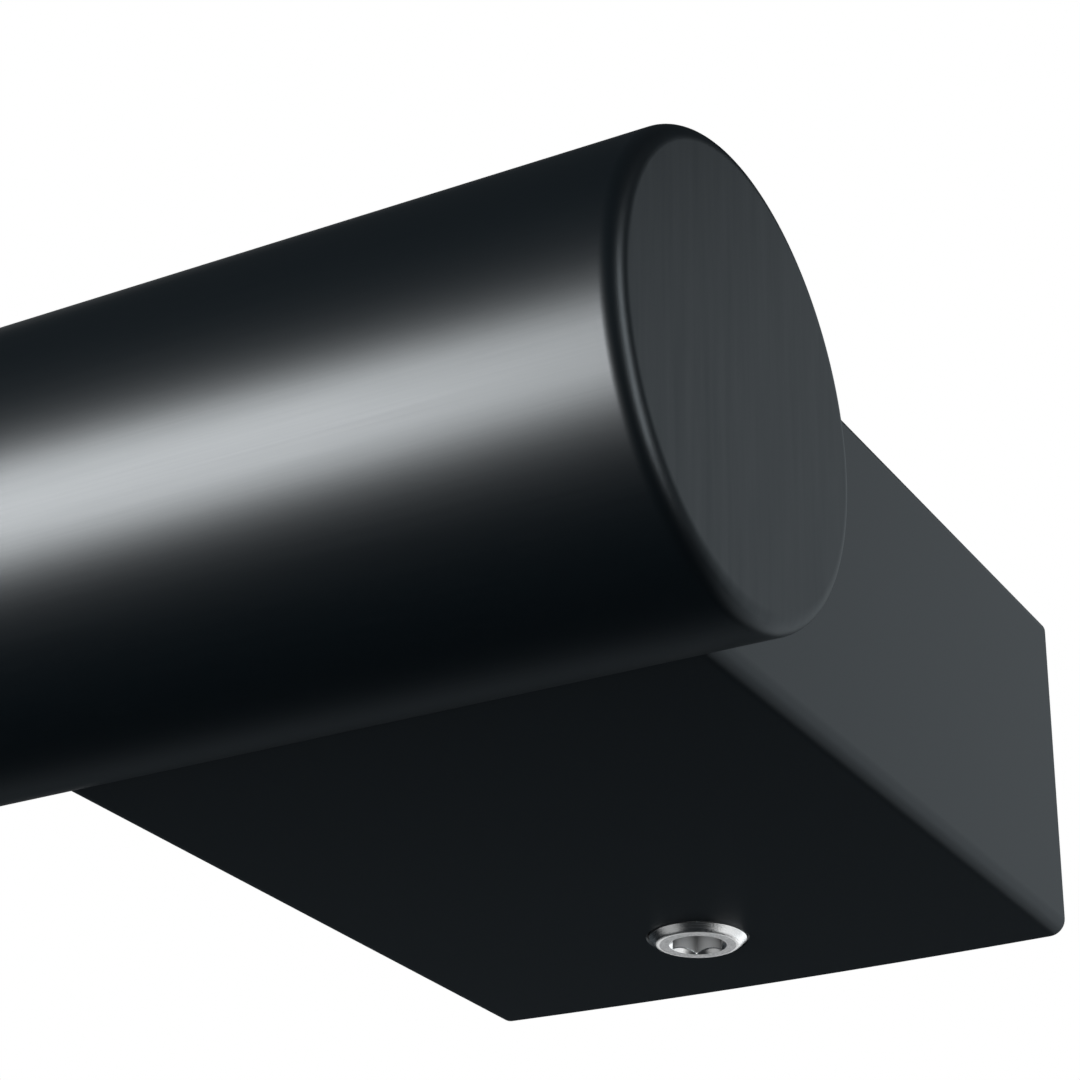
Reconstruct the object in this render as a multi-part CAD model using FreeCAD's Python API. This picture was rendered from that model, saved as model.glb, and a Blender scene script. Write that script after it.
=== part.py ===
import FreeCAD, Part
import math
import os

# Grab bar for a shower or bath: a round tube closed by a disc at each end, held off the wall by
# two rectangular posts. Each post is hollow at its rear and slips over a bracket that is screwed
# to the wall. A set screw in its underside locks it there. Two screws inside the post go through
# a clamp plate and pull the tube onto the post's saddle.
#
# Millimetres. X runs along the bar, Y from the user towards the wall, Z up. The origin lies in
# the wall plane, at mid length and at the height of the bar's axis.

# Bar
bar_length = 400.0
bar_diameter = 25.0
bar_standoff = 54.0  # wall face to bar axis
bar_rim_radius = 1.0  # rounding of the tube's two ends
tube_wall = 2.0

# End discs, set into the tube, welded and ground flush with its ends
disc_thickness = 3.0
disc_clearance = 0.02  # on the radius

# Posts
post_inset = 5.0  # bar end to the post's outer side
post_width = 40.0  # along the bar
post_height = 21.0  # at the sides
post_crown = 0.2  # rise of the top and of the underside at mid width
post_lower_edge_radius = 1.0
post_upper_edge_radius = 0.8
saddle_clearance = 0.05  # between the tube and the post's saddle

# Pocket in the rear of each post
pocket_side_wall = 3.0
pocket_top_wall = 3.5
pocket_floor = 6.5  # least metal between the pocket and the saddle
pocket_corner_radius = 2.0

# Wall brackets
bracket_clearance = 0.2  # all round in the pocket
bracket_thickness = 16.0
bracket_corner_chamfer = 1.4
bracket_lead_in = 0.8  # chamfer that guides the post on
wall_screw_off_pocket_wall = 7.0  # from a hole's axis to the pocket's side
wall_screw_hole = 5.5

# Set screws, metric 6 with a cone point
set_screw_diameter = 6.0
set_screw_length = 6.0
set_screw_off_wall = 10.0
set_screw_proud = 0.45  # how far its end stands out of the underside
set_screw_end_chamfer = 0.45
set_screw_tip_diameter = 1.5
set_screw_across_flats = 3.0  # of its hexagon socket
set_screw_socket_depth = 2.5
set_screw_rim_diameter = 3.52  # of the socket's countersink, at the end face
set_screw_hole_chamfer = 0.15  # where its hole leaves the underside
thread_clearance = 0.02  # on the radius; the threads themselves aren't drawn
point_clearance = 0.02  # between the point and the groove in the bracket

# Screws between post and tube, metric 5, with their washers and plates
bolt_diameter = 5.0
bolt_length = 16.0
bolt_off_pocket_wall = 6.0  # from a screw's axis to the pocket's side
bolt_head_diameter = 8.5
bolt_head_height = 5.0
bolt_hole_clearance = 0.15  # on the radius
hex_across_flats = 4.0
hex_depth = 2.5
clamp_plate_margin = 5.0  # from a screw's axis to the plate's end
clamp_plate_height = 11.0
clamp_plate_thickness = 1.5
lock_washer_diameter = 9.2
lock_washer_hole = 5.1
lock_washer_thickness = 1.2
lock_washer_slit = 0.8
lock_washer_slit_angle = 25.0
nut_plate_margin = 3.5  # from a screw's axis to the plate's end
nut_plate_flat = 4.0  # from the bar's axis to the plate's flat side
nut_plate_clearance = 0.1  # in the tube's bore, on the radius

# Worked out from the sizes above
bar_radius = bar_diameter / 2
bore_radius = bar_radius - tube_wall
post_centre = bar_length / 2 - post_inset - post_width / 2
underside = -(post_height / 2 + post_crown)
pocket_width = post_width - 2 * pocket_side_wall
pocket_height = post_height - 2 * pocket_top_wall
pocket_depth = bar_standoff - bar_radius - pocket_floor
wall_screw_spacing = pocket_width - 2 * wall_screw_off_pocket_wall
bolt_spacing = pocket_width - 2 * bolt_off_pocket_wall
bolt_hole_radius = bolt_diameter / 2 + bolt_hole_clearance
lock_washer_seat = -pocket_depth + clamp_plate_thickness
head_seat = lock_washer_seat + lock_washer_thickness

along_x = FreeCAD.Vector(1, 0, 0)
along_y = FreeCAD.Vector(0, 1, 0)
along_z = FreeCAD.Vector(0, 0, 1)


def at(x, y, z):
    return FreeCAD.Vector(x, y, z)


def turned(profile, direction, centre):
    """A solid of revolution. The profile's points are pairs: distance along the axis, radius."""
    side = along_y if direction != along_y else along_x
    points = [centre + direction * s + side * r for s, r in profile]
    face = Part.Face(Part.makePolygon(points + [points[0]]))
    return face.revolve(centre, direction, 360)


def rod(radius, start, direction, length):
    return Part.makeCylinder(radius, length, start, direction)


def bar_axis_point(x):
    return at(x, -bar_standoff, 0)


def bolt_places(centre_x):
    """The two screw axes of one post, as X positions."""
    return [centre_x - bolt_spacing / 2, centre_x + bolt_spacing / 2]


def make_bar_tube():
    """Drawn tube, its ends rounded, with two screw holes in its rear side behind each post."""
    start = bar_axis_point(-bar_length / 2)
    tube = rod(bar_radius, start, along_x, bar_length)
    tube = tube.makeFillet(bar_rim_radius, [e for e in tube.Edges if e.BoundBox.XLength < 0.01])
    tube = tube.cut(rod(bore_radius, start, along_x, bar_length))
    for centre in (-post_centre, post_centre):
        for x in bolt_places(centre):
            tube = tube.cut(rod(bolt_hole_radius, bar_axis_point(x), along_y, bar_diameter))
    return tube


def make_end_disc(side):
    """Turned disc in the tube's bore, flush with its end."""
    outer_face = bar_axis_point(side * bar_length / 2)
    return rod(bore_radius - disc_clearance, outer_face, along_x * -side, disc_thickness)


def post_section():
    """The post's outline across its length: upright sides, top and underside crowned."""
    half_width = post_width / 2
    half_height = post_height / 2
    corners = [
        at(-half_width, 0, -half_height),
        at(half_width, 0, -half_height),
        at(half_width, 0, half_height),
        at(-half_width, 0, half_height),
    ]
    lower_middle = at(0, 0, -half_height - post_crown)
    upper_middle = at(0, 0, half_height + post_crown)
    return Part.Face(
        Part.Wire(
            [
                Part.Arc(corners[0], lower_middle, corners[1]).toShape(),
                Part.makeLine(corners[1], corners[2]),
                Part.Arc(corners[2], upper_middle, corners[3]).toShape(),
                Part.makeLine(corners[3], corners[0]),
            ]
        )
    )


def wall_block(width, height, depth):
    """A block that runs from the wall plane towards the user."""
    return Part.makeBox(width, depth, height, at(-width / 2, -depth, -height / 2))


def long_edges(block):
    """Its four edges that point away from the wall."""
    return [e for e in block.Edges if abs(e.tangentAt(e.FirstParameter).y) > 0.9]


def make_post(centre_x):
    """Cast post: crowned section, saddle for the tube, pocket for the bracket, screw holes."""
    post = post_section().extrude(along_y * -bar_standoff)
    lower = [e for e in long_edges(post) if e.CenterOfMass.z < 0]
    post = post.makeFillet(post_lower_edge_radius, lower)
    upper = [e for e in long_edges(post) if e.CenterOfMass.z > post_height / 2 - 0.01]
    post = post.makeFillet(post_upper_edge_radius, upper)
    saddle = rod(
        bar_radius + saddle_clearance, bar_axis_point(-post_width), along_x, 2 * post_width
    )
    pocket = wall_block(pocket_width, pocket_height, pocket_depth)
    pocket = pocket.makeFillet(pocket_corner_radius, long_edges(pocket))
    post = post.cut(saddle).cut(pocket)
    for x in bolt_places(0):
        post = post.cut(rod(bolt_hole_radius, bar_axis_point(x), along_y, bar_standoff))
    hole_radius = set_screw_diameter / 2 + thread_clearance
    hole_mouth = at(0, -set_screw_off_wall, underside)
    post = post.cut(rod(hole_radius, hole_mouth - along_z, along_z, post_height / 2))
    widest = hole_radius + set_screw_hole_chamfer
    post = post.cut(Part.makeCone(widest, 0, widest, hole_mouth, along_z))
    post.translate(at(centre_x, 0, 0))
    return post


def make_wall_bracket(centre_x):
    """Milled block on the wall: two screw holes, and a groove for the set screw's point."""
    bracket = wall_block(
        pocket_width - 2 * bracket_clearance,
        pocket_height - 2 * bracket_clearance,
        bracket_thickness,
    )
    bracket = bracket.makeChamfer(bracket_corner_chamfer, long_edges(bracket))
    front = [e for e in bracket.Edges if e.BoundBox.YMax < -bracket_thickness + 0.01]
    bracket = bracket.makeChamfer(bracket_lead_in, front)
    for x in (-wall_screw_spacing / 2, wall_screw_spacing / 2):
        hole = rod(wall_screw_hole / 2, at(x, -bracket_thickness, 0), along_y, bracket_thickness)
        bracket = bracket.cut(hole)
    bracket = bracket.cut(point_groove())
    bracket.translate(at(centre_x, 0, 0))
    return bracket


def point_groove():
    """A right-angled groove along X that the set screw's cone point wedges into."""
    tip = underside - set_screw_proud + set_screw_length
    bottom = tip + set_screw_tip_diameter / 2 + math.sqrt(2) * point_clearance
    mouth = -post_height
    half_width = bottom - mouth
    corners = [
        at(-pocket_width, -set_screw_off_wall - half_width, mouth),
        at(-pocket_width, -set_screw_off_wall + half_width, mouth),
        at(-pocket_width, -set_screw_off_wall, bottom),
    ]
    face = Part.Face(Part.makePolygon(corners + [corners[0]]))
    return face.extrude(along_x * 2 * pocket_width)


def hexagon_socket(centre, across_flats, side, depth):
    """What a hexagon socket takes away. Its corners lie in the plane of X and the side's direction."""
    corner_radius = across_flats / 2 / math.cos(math.pi / 6)
    angles = [math.pi * k / 3 for k in range(7)]
    corners = [
        centre + (along_x * math.cos(a) + side * math.sin(a)) * corner_radius for a in angles
    ]
    return Part.Face(Part.makePolygon(corners)).extrude(depth)


def make_set_screw(centre_x):
    """Grub screw: chamfered end with a countersunk hexagon socket, shank and cone point."""
    radius = set_screw_diameter / 2
    tip_radius = set_screw_tip_diameter / 2
    profile = [
        (0, 0),
        (0, radius - set_screw_end_chamfer),
        (set_screw_end_chamfer, radius),
        (set_screw_length - radius + tip_radius, radius),
        (set_screw_length, tip_radius),
        (set_screw_length, 0),
    ]
    end_face = at(centre_x, -set_screw_off_wall, underside - set_screw_proud)
    screw = turned(profile, along_z, end_face)
    depth = along_z * set_screw_socket_depth
    socket = hexagon_socket(end_face, set_screw_across_flats, along_y, depth)
    rim_radius = set_screw_rim_diameter / 2
    rim = Part.makeCone(rim_radius, 0, rim_radius, end_face, along_z)
    return screw.cut(socket).cut(rim)


def make_bolt(x):
    """Socket head screw, its head in the post's pocket and its tip in the nut plate."""
    shank = bolt_diameter / 2
    head = bolt_head_diameter / 2
    length_over_head = bolt_length + bolt_head_height
    profile = [
        (0, 0),
        (0, shank),
        (bolt_length, shank),
        (bolt_length, head),
        (length_over_head, head),
        (length_over_head, 0),
    ]
    bolt = turned(profile, along_y, at(x, head_seat - bolt_length, 0))
    head_top = at(x, head_seat + bolt_head_height, 0)
    return bolt.cut(hexagon_socket(head_top, hex_across_flats, along_z, along_y * -hex_depth))


def make_lock_washer(x):
    """Spring washer pressed flat by the head, with its slanting slit at the top."""
    start = at(x, lock_washer_seat, 0)
    ring = rod(lock_washer_diameter / 2, start, along_y, lock_washer_thickness).cut(
        rod(lock_washer_hole / 2, start, along_y, lock_washer_thickness)
    )
    middle = start + along_y * (lock_washer_thickness / 2)
    slit = Part.makeBox(
        lock_washer_slit,
        3 * lock_washer_thickness,
        lock_washer_diameter,
        middle - at(lock_washer_slit / 2, 1.5 * lock_washer_thickness, 0),
    )
    slit.rotate(middle, along_z, lock_washer_slit_angle)
    return ring.cut(slit)


def make_clamp_plate(centre_x):
    """Flat plate on the pocket's floor that spreads the load of the two heads."""
    length = bolt_spacing + 2 * clamp_plate_margin
    corner = at(centre_x - length / 2, -pocket_depth, -clamp_plate_height / 2)
    plate = Part.makeBox(length, clamp_plate_thickness, clamp_plate_height, corner)
    for x in bolt_places(centre_x):
        plate = plate.cut(
            rod(bolt_hole_radius, at(x, -pocket_depth, 0), along_y, clamp_plate_thickness)
        )
    return plate


def make_nut_plate(centre_x):
    """Length of round bar milled flat, lying in the tube's bore behind the post."""
    length = bolt_spacing + 2 * nut_plate_margin
    radius = bore_radius - nut_plate_clearance
    start = bar_axis_point(centre_x - length / 2)
    milled_away = Part.makeBox(
        length, radius + nut_plate_flat, 2 * radius, start - at(0, radius, radius)
    )
    plate = rod(radius, start, along_x, length).cut(milled_away)
    for x in bolt_places(centre_x):
        thread = rod(
            bolt_diameter / 2 + thread_clearance, bar_axis_point(x), along_y, bar_diameter
        )
        plate = plate.cut(thread)
    return plate


def pieces():
    """Every piece with its name, from the bar outwards."""
    yield "bar_tube", make_bar_tube()
    for name, side in (("left", -1), ("right", 1)):
        centre_x = side * post_centre
        yield "end_disc_" + name, make_end_disc(side)
        yield "post_" + name, make_post(centre_x)
        yield "nut_plate_" + name, make_nut_plate(centre_x)
        yield "clamp_plate_" + name, make_clamp_plate(centre_x)
        yield "wall_bracket_" + name, make_wall_bracket(centre_x)
        yield "set_screw_" + name, make_set_screw(centre_x)
        for place, x in zip(("inner", "outer"), sorted(bolt_places(centre_x), key=abs)):
            ending = name + "_" + place
            yield "post_screw_" + ending, make_bolt(x)
            yield "lock_washer_" + ending, make_lock_washer(x)


os.makedirs("parts", exist_ok=True)
for node, shape in pieces():
    shape.exportStep("parts/" + node + ".step")
    print(node, shape.ShapeType, len(shape.Solids), shape.isValid(), round(shape.Volume, 1))
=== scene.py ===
from math import cos, pi, radians, sin, sqrt, tan

import bpy
import numpy as np
from mathutils import Matrix, Vector


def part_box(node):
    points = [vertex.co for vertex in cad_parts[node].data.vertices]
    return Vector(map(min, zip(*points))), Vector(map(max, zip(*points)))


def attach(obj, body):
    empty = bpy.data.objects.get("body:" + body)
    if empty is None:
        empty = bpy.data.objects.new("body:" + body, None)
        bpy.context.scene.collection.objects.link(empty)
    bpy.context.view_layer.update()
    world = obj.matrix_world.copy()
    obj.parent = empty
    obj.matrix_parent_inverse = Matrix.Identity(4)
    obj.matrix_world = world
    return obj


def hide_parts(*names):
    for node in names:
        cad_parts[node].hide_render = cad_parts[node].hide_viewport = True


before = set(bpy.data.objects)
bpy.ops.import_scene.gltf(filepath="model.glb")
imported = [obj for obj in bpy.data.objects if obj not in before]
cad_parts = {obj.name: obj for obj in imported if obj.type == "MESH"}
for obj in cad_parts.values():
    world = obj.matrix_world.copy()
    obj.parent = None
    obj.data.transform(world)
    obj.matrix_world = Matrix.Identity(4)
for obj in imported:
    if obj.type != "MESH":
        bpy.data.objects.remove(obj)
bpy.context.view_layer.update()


# The bar: drawn steel tube, 25 mm across, with a disc welded into each end and ground flush with
# it. It is brushed, along its length and straight up and down on its ends, and then coated satin
# black, so one skin without a seam stands for the tube and both discs.

tube_low, tube_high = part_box("bar_tube")
bar_reach = tube_high.x  # from mid length to either end
bar_radius = (tube_high.z - tube_low.z) / 2
bar_depth = tube_high.y - bar_radius  # where its axis lies, in front of the wall
bar_rim = 0.001  # rounding of both ends
bar_rim_start = 1.05 * bar_rim  # how far from the corner the last flat point lies
bar_sides = 256
bar_end_turned = 0.7  # a face this squarely turned to the bar's axis belongs to its end

coat_black = (0.0001, 0.0035, 0.0064)
coat_black_rubbed = (0.0012, 0.0052, 0.0082)
coat_sheen = (0.93, 0.97, 1.0)
coat_gloss_index = 2.02
coat_roughness = 0.35
coat_bump_depth = 0.00002
spray_scale = 9000.0  # cycles to the metre, as every scale is
handling_scale = 14.0
grain_width = 0.00010
grain_strength = 0.05
grain_length = 0.012
grain_contrast = 2.5
upright_grain_width = 0.0008
upright_grain_strength = 0.15


class Amount:
    """What a node gives: a number, colour, direction or shader. Arithmetic on a number that
    varies over a surface adds Math nodes to its material."""

    def __init__(self, finish, socket):
        self.finish, self.socket = finish, socket

    def _with(self, operation, first, second):
        made = self.finish.node("ShaderNodeMath", {"operation": operation}, {0: first, 1: second})
        return made["Value"]

    def __add__(self, other):
        return self._with("ADD", self, other)

    def __radd__(self, other):
        return self._with("ADD", other, self)

    def __sub__(self, other):
        return self._with("SUBTRACT", self, other)

    def __rsub__(self, other):
        return self._with("SUBTRACT", other, self)

    def __mul__(self, other):
        return self._with("MULTIPLY", self, other)

    def __rmul__(self, other):
        return self._with("MULTIPLY", other, self)

    def __gt__(self, other):
        return self._with("GREATER_THAN", self, other)

    def __lt__(self, other):
        return self._with("LESS_THAN", self, other)


class Made:
    """A node that has been added. Its outputs are read by name or number."""

    def __init__(self, finish, node):
        self.finish, self.node = finish, node

    def __getitem__(self, name):
        return Amount(self.finish, self.node.outputs[name])


class Finish:
    """A material, or the world's light, that is put together from nodes."""

    def __init__(self, owner):
        owner.use_nodes = True
        self.owner, self.tree = owner, owner.node_tree
        self.tree.nodes.clear()

    def node(self, kind, settings=None, sockets=None):
        """Adds a node: its type, then its settings, then the values or links of its sockets."""
        node = self.tree.nodes.new(kind)
        for name, value in (settings or {}).items():
            if name == "stops":
                ramp = node.color_ramp
                while len(ramp.elements) < len(value):
                    ramp.elements.new(0.5)
                for element, (place, colour) in zip(ramp.elements, value):
                    element.position, element.color = place, (*colour, 1.0)
            else:
                setattr(node, name, value)
        for name, value in (sockets or {}).items():
            socket = node.inputs[name]
            if isinstance(value, Amount):
                self.tree.links.new(value.socket, socket)
            elif socket.type == "RGBA":
                socket.default_value = (*value, 1.0)
            else:
                socket.default_value = value
        return Made(self, node)

    def place(self, centre=(0, 0, 0), scale=(1, 1, 1)):
        """Object coordinates, measured from the centre and then multiplied by the scale."""
        shift = tuple(-c * s for c, s in zip(centre, scale))
        coordinates = self.node("ShaderNodeTexCoord")["Object"]
        sockets = {"Vector": coordinates, "Location": shift, "Scale": scale}
        return self.node("ShaderNodeMapping", None, sockets)["Vector"]

    def noise(self, scale, detail=3.0, roughness=0.6):
        """Cloudy noise from 0 to 1, its scale one number or three, in cycles to the metre."""
        scale = scale if isinstance(scale, tuple) else (scale,) * 3
        sockets = {"Vector": self.place(scale=scale), "Scale": 1.0}
        sockets.update({"Detail": detail, "Roughness": roughness})
        return self.node("ShaderNodeTexNoise", None, sockets)["Fac"]

    def blend(self, share, first, second):
        """A colour between two: the first where the share is 0, the second where it is 1."""
        return self.node("ShaderNodeMix", {"data_type": "RGBA"}, {0: share, 6: first, 7: second})[2]

    def bump(self, height, depth, strength):
        """A surface direction that follows a height, whose 1 stands for the depth in metres."""
        sockets = {"Height": height, "Distance": depth, "Strength": strength}
        return self.node("ShaderNodeBump", None, sockets)["Normal"]

    def finished(self, shader, output="ShaderNodeOutputMaterial"):
        """Joins the shader to the output, and gives back the material or the world."""
        self.node(output, None, {"Surface": shader})
        return self.owner

    def principled(self, sockets):
        return self.finished(self.node("ShaderNodeBsdfPrincipled", None, sockets)["BSDF"])


def stretched(noise, contrast):
    """The same noise, its distance from 0.5 multiplied by the contrast."""
    return (noise - 0.5) * contrast + 0.5


def black_coat(name, width=grain_width, strength=grain_strength, grain_axis=None):
    """Satin black over metal. The grain is noise of the given width, drawn out along one axis, or
    else along none. Where it is strong, the coat is paler, duller and lets the metal through.
    Finer noise is the sprayed surface, and slow noise is where hands have dulled it."""
    finish = Finish(bpy.data.materials.new(name))
    sizes = [grain_length if axis == grain_axis else width for axis in "XYZ"]
    grain = stretched(finish.noise(tuple(1 / size for size in sizes)), grain_contrast)
    spray = finish.noise(spray_scale)
    handled = finish.noise(handling_scale)
    sockets = {
        "Base Color": finish.blend(grain, coat_black, coat_black_rubbed),
        "Metallic": grain * strength,
        "Roughness": coat_roughness + grain * 0.02 + handled * 0.03,
        "IOR": coat_gloss_index,
        "Specular Tint": coat_sheen,
        "Normal": finish.bump(grain * 0.32 + spray * 0.2, coat_bump_depth, 0.05),
    }
    return finish.principled(sockets)


def skin(name, rings):
    """A closed surface through rings of points, laid on a grid of ring number and place round it.

    The first and the last ring have shrunk to one point each and become the two poles.
    """
    count, sides = rings.shape[:2]
    points = np.concatenate([rings[0, :1], rings[1:-1].reshape(-1, 3), rings[-1, :1]])
    here = np.arange(sides)
    after = (here + 1) % sides
    start = 1 + sides * np.arange(count - 3)[:, None]
    walls = np.stack([start + here, start + after, start + sides + after, start + sides + here], -1)
    last = 1 + sides * (count - 3)
    first_fan = np.stack([here * 0, after + 1, here + 1], -1)
    last_fan = np.stack([here * 0 + len(points) - 1, last + here, last + after], -1)
    faces = [*first_fan.tolist(), *walls.reshape(-1, 4).tolist(), *last_fan.tolist()]
    mesh = bpy.data.meshes.new(name)
    mesh.from_pydata(points.tolist(), [], faces)
    mesh.shade_smooth()
    piece = bpy.data.objects.new(name, mesh)
    bpy.context.scene.collection.objects.link(piece)
    return piece


def turned_to(mesh, axis):
    """How squarely each face is turned to an axis, from 0 to 1, whichever way along it."""
    normals = np.empty(len(mesh.polygons) * 3)
    mesh.polygons.foreach_get("normal", normals)
    return np.abs(normals.reshape(-1, 3)[:, axis])


def bar_outline():
    """The bar's outline from one end's middle to the other's: distance along the axis, radius.

    Each half is a straight run, a quarter circle of the rim's radius, and a straight run to the
    axis. The point next to each end of the quarter circle keeps the runs flat in the light.
    """
    turn = np.linspace(0, pi / 2, 13)
    body = np.linspace(0, bar_reach - bar_rim_start, 25)
    face = np.linspace(bar_radius - bar_rim_start, 0, 6)
    rim_along = bar_reach - bar_rim + bar_rim * np.sin(turn)
    rim_radius = bar_radius - bar_rim + bar_rim * np.cos(turn)
    along = np.concatenate([body, rim_along, bar_reach + 0 * face])
    radius = np.concatenate([bar_radius + 0 * body, rim_radius, face])
    return np.concatenate([-along[:0:-1], along]), np.concatenate([radius[:0:-1], radius])


along, radius = (values[:, None] for values in bar_outline())
angle = np.linspace(0, 2 * pi, bar_sides, endpoint=False)
across = bar_depth + radius * np.cos(angle), radius * np.sin(angle)
bar = skin("bar", np.stack(np.broadcast_arrays(along, *across), -1))
brushed_along = black_coat("black_coat_brushed_along", grain_width, grain_strength, "X")
brushed_upright = black_coat(
    "black_coat_brushed_upright", upright_grain_width, upright_grain_strength, "Z"
)
bar.data.materials.append(brushed_along)
bar.data.materials.append(brushed_upright)
at_end = turned_to(bar.data, axis=0) > bar_end_turned
bar.data.polygons.foreach_set("material_index", at_end.astype(np.int32))
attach(bar, "root")
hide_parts("bar_tube", "end_disc_left", "end_disc_right")


# The two posts: cast blocks with a slightly crowned top and underside, their long edges rounded.
# The front is a saddle that the bar lies in, and the rear is hollow to slip over the wall
# bracket. They carry the bar's black coat, on metal that isn't brushed.

post_low, post_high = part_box("post_right")
post_half_width = (post_high.x - post_low.x) / 2
post_crown = 0.0002  # rise at mid width
post_half_height = post_high.z - post_crown
post_upper_edge = 0.0008
post_lower_edge = 0.001
post_side_wall = 0.003
post_upper_wall = 0.0035  # and the lower wall
saddle_gap = 0.00005
pocket_half_width = post_half_width - post_side_wall
pocket_half_height = post_half_height - post_upper_wall
pocket_depth = 0.035
pocket_corner = 0.002
pocket_crown = 1e-7  # as good as flat
screw_hole_radius = 0.00302
screw_hole_chamfer = 0.00015
screw_hole_sides = 96
screw_hole_overrun = 0.001  # how far below the post the cut starts
screw_off_wall = 0.01
post_rows = 20  # rings along the pocket's walls, and as many along the outside
post_crease = radians(35)  # an edge that turns by more is a sharp one


def quarter(half_width, half_height, rise, edge):
    """A quarter of a block's outline, from the middle of its side to the middle of its top.

    The side is straight, the top is an arc that rises towards its middle, and a smaller arc
    touches both. Points crowd towards the smaller arc, so that side and top stay flat in the
    light.
    """
    arc = (half_width**2 + rise**2) / (2 * rise)
    arc_middle = half_height + rise - arc
    edge_middle = half_width - edge, arc_middle + sqrt((arc - edge) ** 2 - (half_width - edge) ** 2)
    step = np.linspace(0, pi / 2, 14)
    turn = np.linspace(0, np.arctan2(edge_middle[1] - arc_middle, edge_middle[0]), 10)
    side = edge_middle[1] * np.sin(step[:-1])
    corner = edge_middle[0] + edge * np.cos(turn), edge_middle[1] + edge * np.sin(turn)
    top = corner[0][-1] * np.cos(step[1:])
    x = np.concatenate([half_width + 0 * side, corner[0], top])
    z = np.concatenate([side, corner[1], arc_middle + np.sqrt(arc**2 - top**2)])
    return np.stack([x, z], -1)


def block_outline(half_width, half_height, rise, upper_edge, lower_edge):
    """Four quarters, each a mirror image of its neighbour, joined into a ring."""
    upper = quarter(half_width, half_height, rise, upper_edge)
    lower = quarter(half_width, half_height, rise, lower_edge)
    return np.concatenate(
        [upper[:-1], upper[:0:-1] * (-1, 1), lower[:-1] * (-1, -1), lower[:0:-1] * (1, -1)]
    )


def post_rings():
    """Rings from the middle of the pocket's floor, out along its walls, over the rear face,
    forward along the outside and over the saddle to its middle.

    On the floor and on the saddle, the outline shrinks by the shares below. The saddle's depth
    is the bar's axis plus the root of its radius squared less the height squared. Along the
    walls, rings crowd towards both ends, as half of one less the cosine does.
    """
    outside = block_outline(
        post_half_width, post_half_height, post_crown, post_upper_edge, post_lower_edge
    )
    pocket = block_outline(
        pocket_half_width, pocket_half_height, pocket_crown, pocket_corner, pocket_corner
    )
    shrink = np.array([0, 0.4, 0.8, 0.97, 1])[:, None, None]
    crowd = (1 - np.cos(np.linspace(0, pi, post_rows)[:, None])) / 2

    def ring(outline, y):
        y = np.broadcast_to(y, outline.shape[:-1])
        return np.stack([outline[..., 0], y, outline[..., 1]], -1)

    def saddle(outline):
        return bar_depth + np.sqrt((bar_radius + saddle_gap) ** 2 - outline[..., 1] ** 2)

    walls = np.broadcast_to(pocket, (post_rows, *pocket.shape))
    sides = np.broadcast_to(outside, (post_rows, *outside.shape))
    front = outside * shrink[::-1]
    return np.concatenate(
        [
            ring(pocket * shrink, -pocket_depth),
            ring(walls, -pocket_depth * (1 - crowd))[1:],
            ring(sides, crowd * saddle(outside)),
            ring(front, saddle(front))[1:],
        ]
    )


def screw_hole(centre_x):
    """What the set screw's hole takes away: a cone for its chamfer and a cylinder to the pocket.
    It is an outline of heights and radii, turned round the upright axis."""
    below = -post_half_height - post_crown
    mouth = screw_hole_radius + screw_hole_chamfer + screw_hole_overrun
    outline = np.array(
        [
            (below - screw_hole_overrun, 0),
            (below - screw_hole_overrun, mouth),
            (below + screw_hole_chamfer, screw_hole_radius),
            (0, screw_hole_radius),
            (0, 0),
        ]
    )
    angle = np.linspace(0, 2 * pi, screw_hole_sides, endpoint=False)
    z, radius = outline[:, :1], outline[:, 1:]
    x, y = centre_x + radius * np.cos(angle), radius * np.sin(angle) - screw_off_wall
    return skin("screw_hole", np.stack(np.broadcast_arrays(x, y, z), -1))


def take_away(piece, cutter):
    """Cuts the cutter's shape out of a piece, and removes the cutter."""
    cut = piece.modifiers.new("cut", "BOOLEAN")
    cut.object = cutter
    cut.solver = "EXACT"
    seen = piece.evaluated_get(bpy.context.evaluated_depsgraph_get())
    piece.data = bpy.data.meshes.new_from_object(seen)
    piece.modifiers.clear()
    bpy.data.objects.remove(cutter)


cast_coat = black_coat("black_coat_even")
for side in ("left", "right"):
    low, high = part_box("post_" + side)
    centre_x = (low.x + high.x) / 2
    post = skin("post_skin_" + side, post_rings() + (centre_x, 0, 0))
    take_away(post, screw_hole(centre_x))
    post.data.set_sharp_from_angle(angle=post_crease)
    post.data.materials.append(cast_coat)
    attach(post, "root")
    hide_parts("post_" + side)


# What pulls the bar onto the posts: a nut plate in the tube, and in each post's pocket a clamp
# plate with two socket head screws on spring washers. All plain stainless steel, pressed or
# turned, as it comes from the maker. The frame's own solids are shown, in that steel.

plain_steel_grey = (0.50, 0.50, 0.49)
plain_steel_worn = (0.58, 0.58, 0.57)
plain_steel_roughness = 0.26
drawn_scale = 4000.0
drawn_depth = 0.00001
worn_scale = 150.0


def plain_steel():
    """Bare stainless steel: fine noise for the drawn surface, slow noise for how it wears."""
    finish = Finish(bpy.data.materials.new("plain_steel"))
    drawn = finish.noise(drawn_scale)
    worn = finish.noise(worn_scale)
    sockets = {
        "Base Color": finish.blend(worn, plain_steel_grey, plain_steel_worn),
        "Metallic": 1.0,
        "Roughness": plain_steel_roughness + drawn * 0.10 + worn * 0.06,
        "Normal": finish.bump(drawn, drawn_depth, 0.1),
    }
    return finish.principled(sockets)


def dress(node, material):
    """Gives one of the frame's own solids a material in place of its plain one."""
    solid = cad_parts[node]
    solid.data.materials.clear()
    solid.data.materials.append(material)
    return solid


steel = plain_steel()
for side in ("left", "right"):
    screws = ["post_screw_" + side + "_" + place for place in ("inner", "outer")]
    washers = ["lock_washer_" + side + "_" + place for place in ("inner", "outer")]
    for node in ["nut_plate_" + side, "clamp_plate_" + side, *screws, *washers]:
        dress(node, steel)


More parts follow.
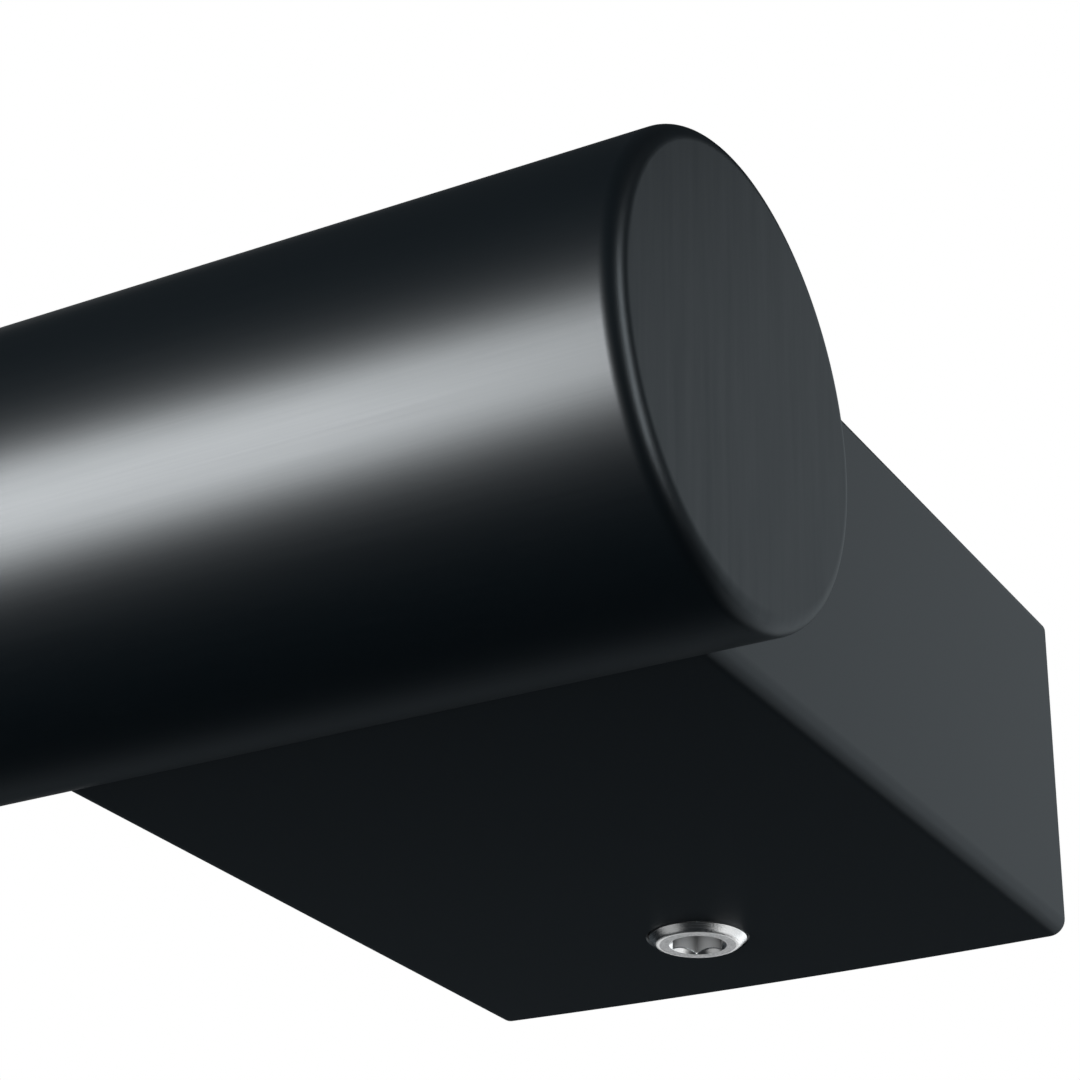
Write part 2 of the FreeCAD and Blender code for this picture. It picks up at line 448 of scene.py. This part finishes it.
# The two wall brackets: milled steel blocks that are screwed to the wall through two holes each,
# and that the posts slip over. They are zinc plated, pale and a little blue.

zinc_pale = (0.60, 0.62, 0.65)
zinc_dull = (0.47, 0.49, 0.52)
zinc_roughness = 0.34
zinc_patch_scale = 260.0
mill_mark_scale = (80.0, 80.0, 5000.0)
mill_mark_depth = 0.00002


def zinc_plate():
    """Plated steel: cloudy patches of two greys, and level mill marks, fine in height alone."""
    finish = Finish(bpy.data.materials.new("zinc_plated_steel"))
    patches = finish.noise(zinc_patch_scale, detail=4.0)
    marks = finish.noise(mill_mark_scale)
    sockets = {
        "Base Color": finish.blend(patches, zinc_dull, zinc_pale),
        "Metallic": 1.0,
        "Roughness": zinc_roughness + patches * 0.12 + marks * 0.05,
        "Normal": finish.bump(marks, mill_mark_depth, 0.15),
    }
    return finish.principled(sockets)


zinc = zinc_plate()
for side in ("left", "right"):
    dress("wall_bracket_" + side, zinc)


# The set screws: metric 6, turned from stainless steel and driven into the posts' undersides
# until the point wedges in the bracket's groove. The outer end has a turned chamfer, a blasted
# flat face and a countersunk hexagon socket, two corners of which lie along the bar.

screw_radius = 0.003
screw_length = 0.006
screw_chamfer = 0.00045
screw_tip_radius = 0.00075
thread_pitch = 0.001
thread_depth = 0.0005
across_flats = 0.003
socket_corner_radius = 0.00015
socket_depth = 0.0025
socket_rim_radius = 0.00176
socket_edge_break = 0.00005
end_edge_break = 0.0002
face_insets = 1.02, 0.97  # where the flat face's two rings lie, in shares of its two radii
screw_sides = 360
thread_rows = 36
thread_start = 2.2 * screw_chamfer  # depths behind the end face
thread_end = screw_length - screw_radius + screw_tip_radius
thread_last_row = thread_end - 0.0002
screw_crease = radians(28)  # an edge that turns by more is a sharp one

turned_steel = (0.79, 0.80, 0.80)
blasted_steel = (0.84, 0.845, 0.85)
blasted_hollows = (0.52, 0.525, 0.53)
pressed_steel = (0.82, 0.825, 0.83)
# painted shade: the socket walls are coloured darker towards the hexagon's corners and deeper down
painted_corner_shade = (0.10, 0.10, 0.10)
turned_roughness = 0.22
face_depth = 0.00005  # what lies nearer to the end face's plane counts as that face
turned_ring_scale = 16000.0
grit_scale = 9000.0
grit_contrast = 2.5
shade_by_radius = 3400.0  # growth of the painted shade to the metre, from the middle of a flat out to the corners
shade_by_depth = 160.0  # and from the end face down
screw_bump_depth = 0.00001


def hexagon(angle):
    """A hexagon's radius at each angle. One corner lies at angle 0, and all are rounded: there the
    radius is that of a small circle, elsewhere half the width across flats over the cosine of
    the angle to the flat's middle."""
    off_corner = (angle + pi / 6) % (pi / 3) - pi / 6
    middle = (across_flats / 2 - socket_corner_radius) / cos(pi / 6)
    beyond = socket_corner_radius**2 - (middle * np.sin(off_corner)) ** 2
    touch = pi / 6 - np.arctan(tan(pi / 6) * (1 - 2 * socket_corner_radius / across_flats))
    return np.where(
        np.abs(off_corner) < touch,
        middle * np.cos(off_corner) + np.sqrt(np.maximum(beyond, 0)),
        across_flats / 2 / np.cos(pi / 6 - np.abs(off_corner)),
    )


def eased(before, corner, beyond, steps=4):
    """The parabola that leaves one line and meets the next at the same slope as theirs."""
    t = np.linspace(0, 1, steps + 1)[:, None]
    return before * (1 - t) ** 2 + corner * 2 * t * (1 - t) + beyond * t**2


def screw_rings(centre_x, centre_y, end_z):
    """Rings from the socket's floor, out of the socket, over the end and up the thread to the
    point. A ring's place is its depth behind the end face and its radius, both by angle.

    The countersink is a cone of 45 degrees from the socket's rim down to the hexagon. The thread
    is a V: its depth times one less the distance from mid turn, where a turn is the depth over
    the pitch less the share of the angle, and it fades out within one pitch of either end.
    """
    angle = np.linspace(0, 2 * pi, screw_sides, endpoint=False)
    socket = hexagon(angle)
    rim_width = socket_rim_radius - socket
    rim_break = np.minimum(socket_edge_break, rim_width / 2)
    wall_end, cone_start = rim_width + rim_break, rim_width - rim_break
    flat_end = screw_radius - screw_chamfer
    flat_break, slant_break = end_edge_break, end_edge_break / sqrt(2)
    across = np.array([0, 0.5, 0.96, 1])[:, None]
    up = np.linspace(0, 1, 8)[1:-1, None]
    outward = np.linspace(0, 1, 4)[1:, None]

    def even(*places):
        return [values[:, None] + 0 * angle for values in np.array(places).T]

    floor = socket_depth + 0 * across * socket, across * socket
    sides = socket_depth + (wall_end - socket_depth) * up, socket + 0 * up
    edge = (
        eased(wall_end, rim_width, cone_start),
        eased(socket, socket, socket + rim_break),
    )
    rim = cone_start * (1 - outward), socket_rim_radius - cone_start * (1 - outward)
    inner, outer = face_insets
    face = even((0, inner * socket_rim_radius), (0, outer * (flat_end - flat_break)))
    end = (
        eased(0 * angle, 0, slant_break),
        eased(flat_end - flat_break + 0 * angle, flat_end, flat_end + slant_break),
    )
    shoulder = even((screw_chamfer, screw_radius))
    depth = np.linspace(thread_start, thread_last_row, thread_rows)[:, None]
    turns = (depth / thread_pitch - angle / (2 * pi)) % 1
    from_ends = np.minimum(depth - thread_start, thread_end - depth)
    fade = np.clip(from_ends / thread_pitch, 0, 1)
    thread = depth + 0 * angle, screw_radius - thread_depth * fade * (1 - np.abs(2 * turns - 1))
    point = even((thread_end, screw_radius), (screw_length, screw_tip_radius), (screw_length, 0))
    runs = floor, sides, edge, rim, face, end, shoulder, thread, point
    depth, radius = (np.concatenate(values) for values in zip(*runs))
    x, y = centre_x + radius * np.cos(angle), centre_y + radius * np.sin(angle)
    return np.stack([x, y, end_z + depth], -1)


def screw_steel(name, centre):
    """Turned steel with fine rings round the axis, a blasted face, and dull, pressed socket walls
    with painted shade that darkens them towards their corners and their floor."""
    finish = Finish(bpy.data.materials.new(name))
    place = finish.place(centre)
    apart = finish.node("ShaderNodeSeparateXYZ", None, {"Vector": place})
    flat = finish.node("ShaderNodeVectorMath", {"operation": "MULTIPLY"}, {0: place, 1: (1, 1, 0)})
    out = finish.node("ShaderNodeVectorMath", {"operation": "LENGTH"}, {0: flat[0]})["Value"]
    turned = {"W": (out + apart["Z"]) * turned_ring_scale, "Detail": 2.0}
    rings = finish.node("ShaderNodeTexNoise", {"noise_dimensions": "1D"}, turned)["Fac"]
    grit = stretched(finish.noise(grit_scale, detail=2.0), grit_contrast)
    face = (apart["Z"] < face_depth) * (out < screw_radius - screw_chamfer - end_edge_break)
    face = face * (out > socket_rim_radius)
    wall = (out < socket_rim_radius) * (out + apart["Z"] > socket_rim_radius + socket_edge_break)
    # painted shade: this mask darkens the socket walls towards their corners and their floor
    corner = (out - across_flats / 2) * shade_by_radius + apart["Z"] * shade_by_depth
    blasted = finish.blend(grit, blasted_hollows, blasted_steel)
    outside = finish.blend(face, turned_steel, blasted)
    inside = finish.blend(corner, pressed_steel, painted_corner_shade)
    sockets = {
        "Base Color": finish.blend(wall, outside, inside),
        "Metallic": 1.0 - face * 0.45 - wall * 0.5,
        "Roughness": turned_roughness + rings * 0.08 + face * 0.35 + wall * 0.12,
        "Normal": finish.bump(rings * (1 - face) + grit * face * 0.4, screw_bump_depth, 0.25),
    }
    return finish.principled(sockets)


for side in ("left", "right"):
    low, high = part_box("set_screw_" + side)
    end = (low.x + high.x) / 2, (low.y + high.y) / 2, low.z
    screw = skin("set_screw_turned_" + side, screw_rings(*end))
    screw.data.set_sharp_from_angle(angle=screw_crease)
    screw.data.materials.append(screw_steel("screw_steel_" + side, end))
    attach(screw, "root")
    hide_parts("set_screw_" + side)


# Studio: a pale floor far below the bar, a softbox at the front left, a dimmer strip at the right
# and grey fields behind. White is for the camera alone: the black coat mirrors a dim, slightly
# blue room, and a floor that glows dim as a painted reflection. The brackets and the set screws
# have lamps of their own, which light nothing else.

floor_height = -0.6
floor_reach = 60.0
floor_pale = (0.80, 0.80, 0.80)
floor_white = (1.04, 1.04, 1.04)
floor_white_share = 0.96  # the rest that the camera sees is the pale floor with its shadows
floor_dark_reach = 0.8  # the floor's painted reflection grows lighter from here to twice as far behind the bar
# painted reflection: what glossy rays see of the floor, emitted, not lit
floor_painted_reflection_below = (0.003, 0.005, 0.007)
floor_painted_reflection_behind = (0.060, 0.070, 0.078)
world_low = (0.020, 0.026, 0.030)
world_level = (0.022, 0.028, 0.032)
world_high = (0.026, 0.031, 0.035)
white_light = (1.0, 1.0, 1.0)
strip_blue = (0.905, 0.965, 1.0)
field_blue = (0.875, 0.955, 1.0)
lamp_aim = Vector((0.19, -0.03, 0.0))
set_screw_aims = Vector((-0.175, -0.01, -0.011)), Vector((0.175, -0.01, -0.011))


def studio_floor():
    """Pale and matt, almost white to the camera with the object's shadow kept. Mirrors see a
    painted reflection instead: the floor glows dim, darker below the bar and lighter behind it.
    """
    finish = Finish(bpy.data.materials.new("studio_floor"))
    ray = finish.node("ShaderNodeLightPath")
    matt = finish.node("ShaderNodeBsdfDiffuse", None, {"Color": floor_pale})["BSDF"]
    away = finish.place((0, floor_dark_reach, 0), (1, 1 / floor_dark_reach, 1))
    behind = finish.node("ShaderNodeSeparateXYZ", None, {"Vector": away})["Y"]
    # painted reflection: to glossy rays the floor glows with this gradient in place of its lit matt
    # colour
    painted_reflection = finish.blend(behind, floor_painted_reflection_below, floor_painted_reflection_behind)
    dim = finish.node("ShaderNodeEmission", None, {"Color": painted_reflection})["Emission"]
    white = finish.node("ShaderNodeEmission", None, {"Color": floor_white})["Emission"]
    plain = finish.node("ShaderNodeMixShader", None, {0: ray["Is Glossy Ray"], 1: matt, 2: dim})
    seen = {0: ray["Is Camera Ray"] * floor_white_share, 1: plain["Shader"], 2: white}
    return finish.finished(finish.node("ShaderNodeMixShader", None, seen)["Shader"])


def studio_world():
    """White to the camera. To everything else a dim grey, a little lighter towards the top."""
    finish = Finish(bpy.data.worlds.new("studio_world"))
    direction = finish.node("ShaderNodeTexCoord")["Generated"]
    up = finish.node("ShaderNodeSeparateXYZ", None, {"Vector": direction})["Z"]
    stops = [(0.3, world_low), (0.5, world_level), (1.0, world_high)]
    dim = finish.node("ShaderNodeValToRGB", {"stops": stops}, {"Fac": up * 0.5 + 0.5})["Color"]
    seen = finish.node("ShaderNodeLightPath")["Is Camera Ray"]
    colour = finish.blend(seen, dim, white_light)
    light = finish.node("ShaderNodeBackground", None, {"Color": colour})["Background"]
    return finish.finished(light, "ShaderNodeOutputWorld")


def softbox(
    name, way, distance, size, brightness, colour=white_light, aim=lamp_aim, lit=(), unlit=()
):
    """An area lamp of an even brightness, with a width and a height, that faces its aim from some
    way off. It lights everything, or only the named pieces that are lit, or all but the unlit."""
    lamp = bpy.data.lights.new(name, "AREA")
    lamp.shape = "RECTANGLE"
    lamp.size, lamp.size_y = size
    lamp.energy = brightness * pi * lamp.size * lamp.size_y
    lamp.color = colour
    holder = bpy.data.objects.new(name, lamp)
    away = Vector(way).normalized()
    holder.location = aim + away * distance
    holder.rotation_euler = away.to_track_quat("Z", "Y").to_euler()
    holder.visible_camera = False
    bpy.context.scene.collection.objects.link(holder)
    if lit or unlit:
        named = holder.light_linking.receiver_collection = bpy.data.collections.new(name)
        for piece in (*lit, *unlit):
            named.objects.link(bpy.data.objects[piece])
        for member in named.collection_objects:
            member.light_linking.link_state = "INCLUDE" if lit else "EXCLUDE"


mesh = bpy.data.meshes.new("floor")
corners = [(-1, -1), (1, -1), (1, 1), (-1, 1)]
corners = [(x * floor_reach, y * floor_reach, floor_height) for x, y in corners]
mesh.from_pydata(corners, [], [(0, 1, 2, 3)])
mesh.materials.append(studio_floor())
floor = bpy.data.objects.new("floor", mesh)
bpy.context.scene.collection.objects.link(floor)

bpy.context.scene.world = studio_world()
brackets = "wall_bracket_left", "wall_bracket_right"
set_screws = "set_screw_turned_left", "set_screw_turned_right"

# each lamp's name, its way from the aim, its distance, its width and height, and its brightness
softbox("front_left", (-0.556, -0.824, -0.08), 0.75, (0.36, 0.455), 7.8, unlit=set_screws)
softbox("right_strip", (0.95, -0.19, 0.08), 1.2, (0.42, 1.25), 2.1, strip_blue)
softbox("back_field", (0.30, 0.88, 0.17), 1.4, (1.50, 1.35), 0.355, field_blue)
softbox("back_low", (0.32, 0.83, -0.47), 0.7, (0.50, 0.36), 0.19, field_blue)
softbox("back_high", (-0.60, 0.65, 0.45), 1.3, (0.80, 0.80), 0.25)
softbox("back_wide", (0.35, 0.90, -0.10), 1.2, (2.40, 1.20), 0.6, lit=brackets)
for aim, screw in zip(set_screw_aims, set_screws):
    only = {"aim": aim, "lit": (screw,)}
    softbox(screw + "_right", (0.43, 0.55, -0.70), 0.5, (0.34, 0.30), 0.85, **only)
    softbox(screw + "_behind", (0.06, 0.94, -0.30), 0.5, (0.26, 0.30), 1.1, **only)
    softbox(screw + "_behind_left", (-0.42, 0.84, -0.36), 0.5, (0.30, 0.26), 0.8, **only)
    softbox(screw + "_left", (-0.62, -0.22, -0.75), 0.5, (0.30, 0.30), 0.45, **only)
    softbox(screw + "_below", (0.54, 0.24, -0.80), 0.5, (0.24, 0.24), 0.40, **only)
    softbox(screw + "_front", (0.42, -0.84, -0.34), 0.5, (0.24, 0.12), 10.0, **only)


# The camera stands below the bar, in front and to its right, as the photograph's does, and looks
# up at the right-hand end.

camera_place = Vector((0.25205, -0.16226, -0.06868))
camera_turn = 0.5275  # to the left, round the upright axis, in radians
camera_rise = 0.4631  # how far it looks up
camera_roll = 0.0165
camera_lens = 97.05  # millimetres
camera_near = 0.01  # nothing nearer is shown

forward = Vector(
    (-sin(camera_turn) * cos(camera_rise), cos(camera_turn) * cos(camera_rise), sin(camera_rise))
)
level = Vector((cos(camera_turn), sin(camera_turn), 0))
upright = level.cross(forward)
right = level * cos(camera_roll) + upright * sin(camera_roll)
up = upright * cos(camera_roll) - level * sin(camera_roll)
camera = bpy.data.objects.new("camera", bpy.data.cameras.new("camera"))
camera.data.lens = camera_lens
camera.data.clip_start = camera_near
turn = Matrix((right, up, -forward)).transposed()
camera.matrix_world = Matrix.Translation(camera_place) @ turn.to_4x4()
bpy.context.scene.collection.objects.link(camera)
bpy.context.scene.camera = camera
bpy.context.scene.view_settings.view_transform = "Standard"
